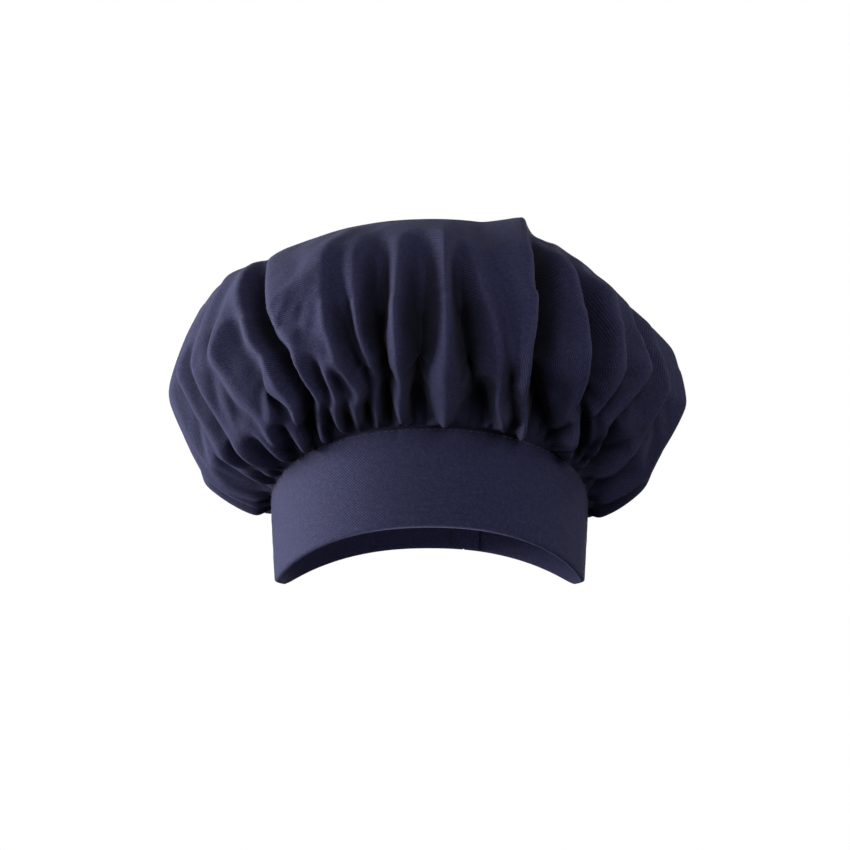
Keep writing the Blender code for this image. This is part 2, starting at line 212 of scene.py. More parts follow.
# Waves round the crown just above its seam: how many, and their height in millimetres.
SEAM_RUFFLES = ((43, 1.6), (57, 1.4), (71, 1.0))
# Round the nape, from ear to ear, the creases are irregular.
BACK_START = 82.0            # degrees
BACK_END = 274
BACK_RIDGES = (5, 10)        # heights in millimetres,
BACK_VALLEYS = (7, 18)       # depths,
BACK_CREASE_ENDS = (1.1, 1.7)  # and the rises where they fade out
BACK_CROSS_CREASES = 14
BACK_CREASE_SPACING = 6.5    # degrees between a ridge and a valley
CREASE_ROUNDING = math.radians(0.7)

# ---- How the crown's cloth is draped
GATHER_FRAMES = 24           # the edge is drawn up during these frames
DRAPE_FRAMES = 40            # and the cloth settles until this one
SOFT_HOLD = 0.18             # how firmly the cloth is drawn to its intended folds
SEAM_HOLD = 0.3              # and how much more firmly near the seam
LONGEST_MOVE = 22 * MM       # a point of the crown stays this near its intended place
CLOTH_SETTINGS = dict(
    quality=5, mass=0.0003, vertex_group_mass="held", pin_stiffness=1.0, air_damping=1,
    tension_stiffness=12, compression_stiffness=12, shear_stiffness=4, bending_stiffness=0.3,
    tension_damping=5, compression_damping=5, bending_damping=0.5,
    use_pressure=True, uniform_pressure_force=0.6)
CLOTH_GRAVITY = 0.02

# ---- Colours and weaves
NAVY = (0.0125, 0.0128, 0.043)
NAVY_WASHED = tuple(1.35 * part for part in NAVY)
NAVY_WORN = (0.056, 0.058, 0.150)
NAVY_DYE = (0.010, 0.010, 0.034)
# painted shade: the near-black navy that the cloth's colour turns deep in the folds, where nearby cloth
# hides it
PAINTED_SHADE_NAVY = (0.0015, 0.0015, 0.004)
NAVY_THREAD = (0.028, 0.029, 0.072)
THREAD_PALE = (0.070, 0.073, 0.145)
NAVY_TAPE = (0.016, 0.017, 0.040)
TAPE_PALE = (0.05, 0.052, 0.10)
# painted highlight: paler navy along the sharp ridges of the cloth
RIDGE_HIGHLIGHT = (0.085, 0.09, 0.17)
LINT = (0.16, 0.165, 0.26)
INTERFACING_WHITE = (0.70, 0.70, 0.67)
INTERFACING_GREY = (0.60, 0.59, 0.55)
LABEL_WHITE = (0.78, 0.78, 0.76)
LABEL_HANDLED = (0.66, 0.65, 0.61)
SHEEN_TINT = (0.75, 0.78, 1.0, 1)
TWILL_PITCH = 1.05 * MM      # from one diagonal line of the weave to the next
YARN_PITCH = 0.55 * MM
FOLD_SHADE_REACH = 30 * MM   # painted shade: cloth nearer than this darkens the colour of what it hides

# ---- Camera, floor and lights
CAMERA_PLACE = (-0.0026, -0.95, -0.034)
CAMERA_TILT = 7.5            # degrees upwards
CAMERA_LENS = 70             # millimetres of focal length
FLOOR_HEIGHT = -0.30
FLOOR_RADIUS = 4.0
FLOOR_GREY = (0.12, 0.12, 0.14, 1)
WORLD_GREY = (0.004, 0.004, 0.005)
WHITE = (1, 1, 1)
HAT_MIDDLE = Vector((0, 0, 0.1))
# Each light's place, size and power.
LIGHTS = {
    "key": ((-1.88, 0.16, 0.28), 0.8, 46),
    "low_left": ((-1.75, -0.3, -0.18), 0.5, 24),
    "front_left": ((-1.09, -1.55, 0.28), 0.7, 7),
    "front_right": ((0.61, -1.68, 0.76), 0.8, 10),
    "right": ((1.77, -0.48, 0.6), 0.8, 5),
    "high_left": ((-1.35, 0.78, 1.2), 0.8, 7),
    "high_right": ((1.55, 0.56, 1.06), 0.8, 7),
    "back": ((0.3, 1.8, 0.5), 1.0, 12),
    "inside": ((0, -0.07, -0.02), 0.06, 0.06),
}


# ---- Curves that the pieces follow, for single values or arrays
def rounded(value, exponent):
    """A signed power, which squares off a circle."""
    return np.sign(value) * np.abs(value) ** exponent


def smooth_step(value, low, high):
    """0 below low, 1 above high, and a smooth ramp between them."""
    share = np.clip((value - low) / (high - low), 0.0, 1.0)
    return share * share * (3 - 2 * share)


def oval(azimuth, offset=0.0, scale=1.0):
    """The band's oval in plan, moved outwards by offset: X and Y."""
    power = 2 / BAND_SQUARENESS
    return ((BAND_HALF_WIDTH * scale + offset) * rounded(np.sin(azimuth), power),
            -(BAND_HALF_DEPTH * scale + offset) * rounded(np.cos(azimuth), power))


def rim_height(azimuth):
    away = np.maximum(0.0, np.abs(np.cos(azimuth)) - RIM_FLAT) / (1 - RIM_FLAT)
    return RIM_LIFT * away ** RIM_CURVE


def seam_height(azimuth):
    forward = np.cos(azimuth) + SEAM_LOW_SHIFT
    reach = 1 + np.copysign(SEAM_LOW_SHIFT, forward)
    share = np.hypot(forward / reach, SEAM_ROUNDING) - SEAM_ROUNDING
    full_share = math.hypot(1, SEAM_ROUNDING) - SEAM_ROUNDING
    return SEAM_SIDE_HEIGHT + (SEAM_HIGH - SEAM_SIDE_HEIGHT) * share / full_share


def band_point(azimuth, height, offset=0.0):
    """A point on the band's outer face, or offset outwards from it."""
    rim, seam = rim_height(azimuth), seam_height(azimuth)
    share = np.clip((height - rim) / (seam - rim), 0.0, 1.0)
    x, y = oval(azimuth, offset, 1 + (BAND_FLARE - 1) * share)
    return np.stack([x, y, height + 0 * x], axis=-1)


def back_azimuth(along):
    """The azimuth of a place at the nape, given its distance from the middle in X."""
    return math.pi - np.arcsin(rounded(along / BAND_HALF_WIDTH, BAND_SQUARENESS / 2))


SLIT_AZIMUTH = float(back_azimuth(SLIT_POSITION))


def from_slit(azimuth):
    """The angle from the slit, between half a turn one way and half a turn the other."""
    return (azimuth - SLIT_AZIMUTH + math.pi) % TURN - math.pi


def way_along(path):
    """The distance of each point of a path from its start."""
    steps = np.linalg.norm(np.diff(path, axis=0), axis=1)
    return np.concatenate([[0], np.cumsum(steps)])


# ---- Materials
def node(tree, kind, inputs=None, **settings):
    """Adds a shader node. Inputs are values, or other nodes' outputs to link."""
    made = tree.nodes.new("ShaderNode" + kind)
    for name, value in settings.items():
        setattr(made, name, value)
    for key, value in (inputs or {}).items():
        if isinstance(value, bpy.types.NodeSocket):
            tree.links.new(value, made.inputs[key])
        else:
            made.inputs[key].default_value = value
    return made


def calculate(tree, operation, *values):
    return node(tree, "Math", dict(enumerate(values)), operation=operation).outputs[0]


def blended(tree, share, first, second, strength=1.0):
    """A colour mixed from two, each a colour or a node's output. Strength scales the share of the second."""
    colours = {"Factor": calculate(tree, "MULTIPLY", share, strength)}
    for key, colour in (("A", first), ("B", second)):
        colours[key] = colour if isinstance(colour, bpy.types.NodeSocket) else (*colour, 1)
    return node(tree, "Mix", colours, data_type="RGBA").outputs["Result"]


def ripple(tree, along, pitch, shift=0.0):
    """A wave from 0 to 1 along a distance."""
    turns = calculate(tree, "MULTIPLY", along, TURN / pitch)
    wave = calculate(tree, "SINE", calculate(tree, "ADD", turns, shift))
    return calculate(tree, "MULTIPLY_ADD", wave, 0.5, 0.5)


def two_ways(tree, place):
    """A place's distances across and along its cloth."""
    parts = node(tree, "SeparateXYZ", {"Vector": place})
    return parts.outputs["X"], parts.outputs["Y"]


def cloudy(tree, place, scale, detail=2.0):
    return node(tree, "TexNoise", {"Vector": place, "Scale": scale, "Detail": detail}).outputs["Fac"]


def between(tree, value, low, high):
    """0 below low, 1 above high."""
    return node(tree, "MapRange", {"Value": value, "From Min": low, "From Max": high}).outputs["Result"]


def fabric(name, colour, height, depth, roughness, sheen):
    """A cloth material, from rules for its colour and height at a place on the cloth."""
    made = bpy.data.materials.new(name)
    made.use_nodes = True
    tree = made.node_tree
    place = node(tree, "UVMap", uv_map="cloth").outputs["UV"]
    level = height(tree, place)
    bump = node(tree, "Bump", {"Height": level, "Strength": 0.9, "Distance": depth})
    shader = tree.nodes["Principled BSDF"]
    tree.links.new(colour(tree, place, level), shader.inputs["Base Color"])
    tree.links.new(bump.outputs["Normal"], shader.inputs["Normal"])
    for key, value in (("Roughness", roughness), ("Specular IOR Level", 0.25), ("Sheen Weight", sheen),
                       ("Sheen Roughness", 0.45), ("Sheen Tint", SHEEN_TINT)):
        shader.inputs[key].default_value = value
    return made


def twill_height(tree, place):
    """Diagonal lines, made of short floats of yarn that aren't quite even."""
    across, along = two_ways(tree, place)
    uneven = calculate(tree, "MULTIPLY", cloudy(tree, place, 900.0), 2.2)
    lines = ripple(tree, calculate(tree, "ADD", across, along), TWILL_PITCH * math.sqrt(2), uneven)
    yarns = ripple(tree, calculate(tree, "SUBTRACT", across, along), YARN_PITCH * math.sqrt(2), uneven)
    woven = calculate(tree, "MULTIPLY_ADD", yarns, 0.35, calculate(tree, "MULTIPLY", lines, 0.65))
    slubs = calculate(tree, "MULTIPLY", cloudy(tree, place, 350.0, 3.0), 0.5)
    return calculate(tree, "ADD", woven, slubs)


def twill_colour(tree, place, level):
    """Navy, cloudy from washing and paler on the floats, with a painted highlight along ridges and painted
    shade deep in the folds.
    """
    washed = between(tree, cloudy(tree, place, 22.0, 3.0), 0.35, 0.7)
    cloth = blended(tree, washed, NAVY, NAVY_WASHED, 0.35)
    floats = between(tree, level, 0.35, 1.15)
    cloth = blended(tree, floats, cloth, NAVY_WORN, 0.95)
    speckle = between(tree, cloudy(tree, place, 620.0, 4.0), 0.38, 0.62)
    cloth = blended(tree, speckle, cloth, NAVY_DYE, 0.45)
    lint = between(tree, cloudy(tree, place, 1500.0, 1.0), 0.72, 0.8)
    cloth = blended(tree, lint, cloth, LINT, 0.5)
    # painted highlight: paler along sharp ridges, found from the mesh's pointiness
    sharp = between(tree, node(tree, "NewGeometry").outputs["Pointiness"], 0.53, 0.62)
    cloth = blended(tree, sharp, cloth, RIDGE_HIGHLIGHT, 0.35)
    # painted shade: the colour darkens towards near-black where nearby cloth hides it, deep in the folds
    open_sky = node(tree, "AmbientOcclusion", {"Distance": FOLD_SHADE_REACH}, samples=4).outputs["AO"]
    return blended(tree, between(tree, open_sky, 0.2, 0.85), PAINTED_SHADE_NAVY, cloth)


def thread_height(tree, place):
    along, around = two_ways(tree, place)
    twisted = calculate(tree, "MULTIPLY_ADD", around, 0.9, along)
    return ripple(tree, twisted, 0.45 * MM)


def thread_colour(tree, place, level):
    fuzz = cloudy(tree, place, 2500.0)
    return blended(tree, calculate(tree, "ADD", level, fuzz), NAVY_THREAD, THREAD_PALE, 0.4)


def tape_height(tree, place):
    across, along = two_ways(tree, place)
    ribs = ripple(tree, across, 0.7 * MM)
    picks = ripple(tree, along, 0.5 * MM)
    return calculate(tree, "ADD", calculate(tree, "MULTIPLY", ribs, picks), cloudy(tree, place, 1200.0))


def tape_colour(tree, place, level):
    return blended(tree, level, NAVY_TAPE, TAPE_PALE, 0.4)


def interfacing_height(tree, place):
    return cloudy(tree, place, 700.0, 6.0)


def interfacing_colour(tree, place, level):
    return blended(tree, between(tree, level, 0.35, 0.65), INTERFACING_GREY, INTERFACING_WHITE)


def satin_height(tree, place):
    along = two_ways(tree, place)[1]
    return calculate(tree, "ADD", ripple(tree, along, 0.3 * MM), cloudy(tree, place, 600.0))


def satin_colour(tree, place, level):
    handled = between(tree, cloudy(tree, place, 90.0, 3.0), 0.45, 0.75)
    return blended(tree, handled, LABEL_WHITE, LABEL_HANDLED, 0.5)


MATERIALS = {
    "twill": fabric("navy_twill", twill_colour, twill_height, 0.2 * MM, 0.8, 0.06),
    "sewing_thread": fabric("navy_thread", thread_colour, thread_height, 0.08 * MM, 0.55, 0.2),
    "fastener_tape": fabric("navy_tape", tape_colour, tape_height, 0.15 * MM, 0.85, 0.3),
    "interfacing": fabric("stiff_interfacing", interfacing_colour, interfacing_height, 0.1 * MM, 0.9, 0.1),
    "label_satin": fabric("label_satin", satin_colour, satin_height, 0.04 * MM, 0.42, 0.1),
}


# ---- Crown: where its cloth lies
def crown_curve(azimuth, rise):
    """The smooth puffed shape: rise is 0 at the seam, 1 at the widest line and 2 on top."""
    side = np.sin(azimuth)
    seam_x, seam_y = oval(azimuth, -BAND_THICKNESS / 2, BAND_FLARE)
    wide_x, wide_y = CROWN_HALF_WIDTH * side + CROWN_SHIFT, -CROWN_HALF_DEPTH * np.cos(azimuth)
    seam_z = seam_height(azimuth) + CLOTH
    power = 2 / CROWN_SQUARENESS
    low_turn = np.clip(rise, 0, 1) * math.pi / 2
    high_turn = np.clip(rise - 1, 0, 1) * math.pi / 2
    out = np.sin(low_turn) ** np.interp(np.degrees(azimuth), FACET_AZIMUTHS, FULLNESS, period=360)
    narrow = rounded(np.cos(high_turn), power)
    low_z = CROWN_WIDEST_HEIGHT - (CROWN_WIDEST_HEIGHT - seam_z) * np.cos(low_turn)
    up = (CROWN_TOP - CROWN_WIDEST_HEIGHT) * np.sin(high_turn) ** power
    upper = rise > 1
    x = np.where(upper, wide_x * narrow, seam_x + (wide_x - seam_x) * out)
    y = np.where(upper, wide_y * narrow, seam_y + (wide_y - seam_y) * out)
    z = np.where(upper, CROWN_WIDEST_HEIGHT + up, low_z)
    share = up / (CROWN_TOP - CROWN_WIDEST_HEIGHT)
    return np.stack([x - CROWN_LEAN * np.abs(side) * np.sin(math.pi * share), y, z], axis=-1)


def crown_base(azimuth, rise):
    """The puffed shape without folds, pulled towards straight lines between the facets' rises."""
    degrees = np.degrees(azimuth)
    lines = [np.zeros_like(rise)]
    lines += [np.interp(degrees, FACET_AZIMUTHS, rises, period=360) + 0 * rise for rises in FACET_RISES]
    lines.append(np.full_like(lines[0], 2.0))
    smooth = crown_curve(azimuth, rise)
    result = smooth
    for low, high, flatness in zip(lines, lines[1:], FLATNESS):
        share = (rise - low) / (high - low)
        amount = flatness * (FRONT_FLATNESS + (1 - FRONT_FLATNESS) * np.sin(azimuth) ** 2)
        start, end = crown_curve(azimuth, low), crown_curve(azimuth, high)
        straight = start + (end - start) * share[:, None]
        inside = ((share >= 0) & (share < 1))[:, None]
        result = np.where(inside, smooth + (straight - smooth) * amount[:, None], result)
    return result


def crown_normal(azimuth, rise):
    step = 0.01
    around = crown_curve(azimuth + step, rise) - crown_curve(azimuth - step, rise)
    upward = crown_curve(azimuth, rise + step) - crown_curve(azimuth, rise - step)
    normal = np.cross(around, upward)
    return normal / np.maximum(np.linalg.norm(normal, axis=-1, keepdims=True), 1e-12)


def all_creases():
    """The creases of the front, then those from one ear round the nape to the other."""
    creases = list(FRONT_CREASES)
    place, ridge = BACK_START, True
    while place < BACK_END:
        lean = RANDOM.uniform(-5, 5)
        height = RANDOM.uniform(*BACK_RIDGES) if ridge else -RANDOM.uniform(*BACK_VALLEYS)
        azimuths = [place + share * lean for share in (0, 0.3, 0.6, 1)]
        creases.append((*azimuths, RANDOM.uniform(*BACK_CREASE_ENDS), height))
        place += BACK_CREASE_SPACING + RANDOM.uniform(-1.5, 1.5)
        ridge = not ridge
    return creases


def crease_height(azimuth, rise, creases):
    """How far the cloth stands off the puffed shape: flat from each crease to the next.

    Above the last of their rises, the creases of the front run straight back instead of towards the top.
    """
    narrow = np.maximum(np.cos((rise - 1) * math.pi / 2), 0.05)
    last_narrow = math.cos((CREASE_RISES[-1] - 1) * math.pi / 2)
    bent_in = (last_narrow / narrow) ** (2 / CROWN_SQUARENESS)
    narrowing = np.where(rise > CREASE_RISES[-1], bent_in, 1.0)
    places, levels = [], []
    for *azimuths, end, height in creases:
        place = np.radians(np.interp(rise, CREASE_RISES, azimuths))
        straight = np.arcsin(np.clip(np.sin(place) * narrowing, -0.95, 0.95))
        places.append(np.where(np.abs(place) < math.radians(60), straight, place))
        levels.append(height * MM * smooth_step(rise, 0.0, 0.12) * (1 - smooth_step(rise / end, 0.75, 1.0)))
    places.append(places[0] + TURN)
    levels.append(levels[0])
    around = places[0] + (azimuth - places[0]) % TURN
    result = np.zeros_like(azimuth)
    for low, high, low_level, high_level in zip(places, places[1:], levels, levels[1:]):
        share = (around - low) / np.maximum(high - low, 1e-4)
        result = np.where((share >= 0) & (share < 1), low_level + (high_level - low_level) * share, result)
    return result


def flat_place(azimuth, rise):
    """A rough flat map of the crown, in millimetres, to measure distances on."""
    girth = 140 * np.cos(np.clip(rise - 1, 0, 0.95) * math.pi / 2) ** 0.9
    return np.stack(np.broadcast_arrays(azimuth * girth, rise * 95.0), axis=-1)


def all_cross_creases():
    """The cross creases of the front, and others scattered over the sides and the nape."""
    creases = list(CROSS_CREASES)
    for index in range(BACK_CROSS_CREASES):
        azimuth = 85 + 190 * (index + RANDOM.uniform(0, 1)) / BACK_CROSS_CREASES
        rise = RANDOM.uniform(1.1, 1.6)
        places = [(azimuth, rise)]
        for step in range(3):
            azimuth, rise = azimuth + RANDOM.uniform(3, 10), rise + RANDOM.uniform(-0.14, 0.14)
            places.append((azimuth, rise))
        creases.append((RANDOM.uniform(2, 3.5), RANDOM.uniform(8, 13), places))
    return creases


def cross_height(azimuth, rise, creases):
    """How far the cross creases lift the cloth: tents along broken lines, lower at their ends."""
    here = flat_place((azimuth + math.pi / 2) % TURN - math.pi / 2, rise)
    total = np.zeros_like(azimuth)
    for height, width, places in creases:
        degrees, rises = np.transpose(places)
        corners = flat_place(np.radians(degrees), rises)
        lift = np.zeros_like(azimuth)
        for index, (start, end) in enumerate(zip(corners, corners[1:])):
            way = end - start
            share = np.clip((here - start) @ way / (way @ way), 0, 1)
            distance = np.linalg.norm(here - start - share[:, None] * way, axis=-1)
            along = (index + share) / (len(corners) - 1)
            tent = np.maximum(0, 1 - distance / width) ** 1.3
            lift = np.maximum(lift, tent * np.sin(math.pi * along) ** 0.5)
        total += height * MM * lift
    return total


def slit_calm(azimuth, rise):
    """0 along the slit, where the facing holds the crown smooth, and 1 away from it."""
    across = np.abs(from_slit(azimuth)) * CROWN_HALF_DEPTH
    above = np.maximum(0.0, rise - CROWN_SLIT_TOP) * 150 * MM
    return smooth_step(np.hypot(across, above), 12 * MM, 34 * MM)


def crown_folded(azimuth, rise):
    """Where the cloth is meant to lie, with all its folds."""
    creases = all_creases()
    shifts = CREASE_ROUNDING * np.linspace(-1, 1, 5)
    height = sum(crease_height(azimuth + shift, rise, creases) for shift in shifts) / len(shifts)
    near_seam = smooth_step(rise, 0.0, 0.12) * (1 - smooth_step(rise, 0.3, 0.8))
    for count, size in SEAM_RUFFLES:
        height += size * MM * near_seam * np.sin(count * azimuth + RANDOM.uniform(0, TURN))
    height += cross_height(azimuth, rise, all_cross_creases())
    height *= slit_calm(azimuth, rise)
    return crown_base(azimuth, rise) + crown_normal(azimuth, rise) * height[:, None]


def crown_column(azimuth):
    """A line of the puffed shape from its top to its seam: rises and points."""
    rises = np.linspace(2, 0, 241)
    return rises, crown_base(np.full_like(rises, azimuth), rises)


def crown_rings():
    """Rings of points on the round of cloth, from its cut edge inwards: (radius, azimuths).

    Rings that cross the slit are open: their first and last points lie on its two edges.
    """
    rises, path = crown_column(SLIT_AZIMUTH)
    way = way_along(path)
    slit_end = CROWN_RADIUS * np.interp(2 - CROWN_SLIT_TOP, 2 - rises, way) / way[-1]
    rings = []
    radius, count = CROWN_RADIUS + SEAM_ALLOWANCE, CROWN_COLUMNS
    while radius > 1.5 * CROWN_SPACING:
        slit_here = radius > slit_end
        azimuths = SLIT_AZIMUTH + TURN * np.arange(count + slit_here) / count
        if slit_here:
            azimuths[0] += SLIT_HALF_TURN
            azimuths[-1] -= SLIT_HALF_TURN
        rings.append((radius, azimuths))
        near_seam = radius > CROWN_RADIUS - SEAM_RINGS * SEAM_SPACING
        radius -= SEAM_SPACING if near_seam else CROWN_SPACING
        if TURN * radius / count < 0.62 * CROWN_SPACING:
            count //= 2
    return rings


def crown_faces(rings):
    """Faces between rings of points. Where the count halves, each inner edge meets two outer ones."""
    sizes = [len(azimuths) for radius, azimuths in rings]
    starts = np.concatenate([[0], np.cumsum(sizes)])
    faces = []

    def corner(ring, step):
        return starts[ring] + step % sizes[ring]

    for ring in range(len(rings) - 1):
        outer, inner = sizes[ring] // 2 * 2, sizes[ring + 1] // 2 * 2
        ratio = outer // inner
        for k in range(inner):
            edge = [corner(ring, k * ratio + step) for step in range(ratio + 1)]
            faces.append(edge + [corner(ring + 1, k + 1), corner(ring + 1, k)])
    for k in range(sizes[-1]):
        faces.append([corner(len(rings) - 1, k), corner(len(rings) - 1, k + 1), starts[-1]])
    return faces


def girth_ease(rise):
    """How many times wider than the puffed shape the unstrained cloth is."""
    return 1 + GATHER_EASE * np.exp(-rise / GATHER_FADE) + FOLD_EASE * np.exp(-((rise - 0.95) / 0.4) ** 2)


def cloth_column(azimuth, shares):
    """The rises and unstrained places of points at shares of the way from the crown's middle to its seam."""
    rises, path = crown_column(azimuth)
    steps = np.linalg.norm(np.diff(path, axis=0), axis=1)
    plan = path[:, :2] * girth_ease(rises)[:, None]
    outward = np.linalg.norm(np.diff(plan, axis=0), axis=1)
    drops = np.sqrt(np.maximum(0, steps ** 2 - outward ** 2))
    height = CROWN_TOP - np.concatenate([[0], np.cumsum(drops)])
    way = np.concatenate([[0], np.cumsum(steps)]) / steps.sum()
    loose = [np.interp(shares, way, values) for values in (plan[:, 0], plan[:, 1], height)]
    return np.interp(shares, way, rises), np.stack(loose, axis=-1)


def read(items, attribute, width, kind=np.float32):
    """One attribute of every point or corner of a mesh, a row for each."""
    values = np.zeros(width * len(items), kind)
    items.foreach_get(attribute, values)
    return values.reshape(-1, width)


def place_points(items, points):
    items.foreach_set("co", points.astype(np.float32).ravel())


def new_mesh(name, points, faces, flat=None):
    """A mesh; flat holds each point's place on the uncut cloth, which becomes the UV map."""
    mesh = bpy.data.meshes.new(name)
    mesh.from_pydata(np.asarray(points).tolist(), [], [list(map(int, face)) for face in faces])
    if flat is not None:
        layer = mesh.uv_layers.new(name="cloth")
        corners = read(mesh.loops, "vertex_index", 1, np.int32)[:, 0]
        layer.data.foreach_set("uv", np.asarray(flat)[corners].astype(np.float32).ravel())
    mesh.shade_smooth()
    return mesh


def new_object(name, mesh):
    made = bpy.data.objects.new(name, mesh)
    bpy.context.scene.collection.objects.link(made)
    return made


def points_of(mesh):
    return read(mesh.vertices, "co", 3).astype(float)


def modify(piece, kind, **settings):
    """Adds a modifier to a piece."""
    modifier = piece.modifiers.new(kind.lower(), kind)
    for key, value in settings.items():
        setattr(modifier, key, value)


def bake_modifiers(piece):
    """Applies a piece's modifiers to its mesh."""
    bpy.context.view_layer.update()
    evaluated = piece.evaluated_get(bpy.context.evaluated_depsgraph_get())
    mesh = bpy.data.meshes.new_from_object(evaluated)
    piece.modifiers.clear()
    piece.data = mesh
    return piece


def drape(mesh, intended, held):
    """Points of the cloth in mesh, once its edge is drawn up by a simulation towards its intended points."""
    cloth = new_object("drape", mesh)
    pins = cloth.vertex_groups.new(name="held")
    for index, weight in enumerate(held):
        pins.add([index], float(weight), "REPLACE")
    cloth.shape_key_add(name="uncut")
    gathered = cloth.shape_key_add(name="gathered")
    place_points(gathered.data, intended)
    for frame_number, value in ((1, 0.0), (GATHER_FRAMES, 1.0)):
        gathered.value = value
        gathered.keyframe_insert("value", frame=frame_number)
    modifier = cloth.modifiers.new("drape", "CLOTH")
    for key, value in CLOTH_SETTINGS.items():
        setattr(modifier.settings, key, value)
    modifier.settings.effector_weights.gravity = CLOTH_GRAVITY
    modifier.collision_settings.use_collision = False
    modifier.point_cache.frame_end = DRAPE_FRAMES
    scene = bpy.context.scene
    for step in range(1, DRAPE_FRAMES + 1):
        scene.frame_set(step)
    evaluated = cloth.evaluated_get(bpy.context.evaluated_depsgraph_get())
    points = points_of(evaluated.data)
    scene.frame_set(1)
    bpy.data.objects.remove(cloth)
    return points


def add_crinkles(crown):
    """The small gathers along the seam, too fine for the draped cloth."""
    mesh = crown.data
    corners = read(mesh.loops, "vertex_index", 1, np.int32)[:, 0]
    flat = np.zeros((len(mesh.vertices), 2))
    flat[corners] = read(mesh.uv_layers["cloth"].data, "uv", 2)
    azimuth = np.arctan2(flat[:, 0], -flat[:, 1])
    inside = CROWN_RADIUS - np.hypot(flat[:, 0], flat[:, 1])
    wander = sum(RANDOM.uniform(0.3, 0.6) * np.sin(turns * azimuth + RANDOM.uniform(0, 6))
                 for turns in (7, 11, 17))
    swell = sum(np.sin(turns * azimuth + RANDOM.uniform(0, 6)) for turns in (9, 14, 23))
    strength = 0.65 + 0.35 * swell / 2
    reach = smooth_step(inside, 0, 4 * MM) * np.exp(-np.maximum(inside, 0) / CRINKLE_LENGTH)
    calm = smooth_step(np.abs(from_slit(azimuth)), 0.05, 0.15)
    gathers = 2 * np.abs(np.sin(CRINKLES / 2 * azimuth + 1.3 * wander)) - 1.3
    height = CRINKLE_HEIGHT * gathers * strength * reach * calm
    place_points(mesh.vertices, points_of(mesh) + read(mesh.vertices, "normal", 3) * height[:, None])


def make_crown():
    """A round of cloth, drawn up into folds round its slit, with small gathers at its seam."""
    rings = crown_rings()
    azimuths = np.concatenate([ring[1] for ring in rings] + [[0.0]])
    radii = np.concatenate([np.full(len(ring[1]), ring[0]) for ring in rings] + [[0.0]])
    rises, loose = np.zeros_like(radii), np.zeros((len(radii), 3))
    for column in np.unique(np.round(azimuths, 9)):
        chosen = np.abs(azimuths - column) < 1e-8
        rises[chosen], loose[chosen] = cloth_column(column, radii[chosen] / CROWN_RADIUS)
    first = crown_folded(azimuths, rises)
    rest = loose + first - crown_base(azimuths, rises)
    turned_in = np.maximum(0, radii - CROWN_RADIUS)
    first[:, 2] -= turned_in
    rest[:, 2] -= turned_in
    flat = np.stack([radii * np.sin(azimuths), -radii * np.cos(azimuths)], axis=-1)
    faces = crown_faces(rings)
    mesh = new_mesh("crown_cloth", first, faces, flat)
    points = first
    hold = SOFT_HOLD + SEAM_HOLD * (1 - smooth_step(rises, 0.0, 0.5))
    held = np.where(rises < 0.01, 1.0, np.maximum(hold, 1 - slit_calm(azimuths, rises)))
    draped = drape(new_mesh("crown_uncut", rest, faces), first, held)
    move = draped - first
    length = np.linalg.norm(move, axis=1, keepdims=True)
    freedom = smooth_step(rises, 0.1, 0.7)[:, None]
    points = first + move * freedom * np.minimum(1.0, LONGEST_MOVE / np.maximum(length, 1e-9))
    place_points(mesh.vertices, points)
    crown = new_object("crown_gathered", mesh)
    modify(crown, "SUBSURF", levels=1, render_levels=1)
    bake_modifiers(crown)
    add_crinkles(crown)
    modify(crown, "SOLIDIFY", thickness=CLOTH, offset=0)
    bake_modifiers(crown)
    return finish_piece(crown, "hat", "twill", "crown")


# ---- Sheets of cloth
def sheet(name, place, steps_along, steps_up, thickness):
    """A sheet whose points, from 0 to 1 along and up, are put in place by a rule, with softened edges."""
    shares = [np.linspace(0, 1, steps + 1) for steps in (steps_along, steps_up)]
    along, up = np.meshgrid(*shares, indexing="ij")
    points = place(along.ravel(), up.ravel())
    grid = points.reshape(steps_along + 1, steps_up + 1, 3)
    flat_x = np.repeat(way_along(grid[:, steps_up // 2]), steps_up + 1)
    flat_y = np.tile(way_along(grid[steps_along // 2]), steps_along + 1)
    faces = []
    for column in range(steps_along):
        for row in range(steps_up):
            first = column * (steps_up + 1) + row
            faces.append((first, first + steps_up + 1, first + steps_up + 2, first + 1))
    piece = new_object(name, new_mesh(name, points, faces, np.stack([flat_x, flat_y], axis=-1)))
    modify(piece, "SOLIDIFY", thickness=thickness, offset=0, use_even_offset=True)
    modify(piece, "BEVEL", width=0.3 * thickness, segments=2, limit_method="ANGLE", angle_limit=EDGE_ANGLE)
    return bake_modifiers(piece)


def finish_piece(piece, body, slot, *nodes):
    """Lets a piece move with its body, stand for its frame nodes and take its material."""
    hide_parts(*nodes)
    piece.data.materials.clear()
    piece.data.materials.append(MATERIALS[slot])
    if body:
        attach(piece, body)
    return piece


# ---- Headband
RUN_START = SLIT_AZIMUTH - TURN + SLIT_WIDTH / 2 / BAND_HALF_WIDTH
RUN_END = SLIT_AZIMUTH - SLIT_WIDTH / 2 / BAND_HALF_WIDTH
WAVES, PUCKERS = [[(turns, RANDOM.uniform(0, TURN), RANDOM.uniform(0.5, 1)) for turns in group]
                  for group in ((5, 8, 13, 21), (47, 61, 83, 97))]


def mixed_waves(azimuth, waves):
    """A sum of waves round the hat, from about -1 to 1."""
    total = sum(size for turns, phase, size in waves)
    return sum(size * np.sin(turns * azimuth + phase) for turns, phase, size in waves) / total


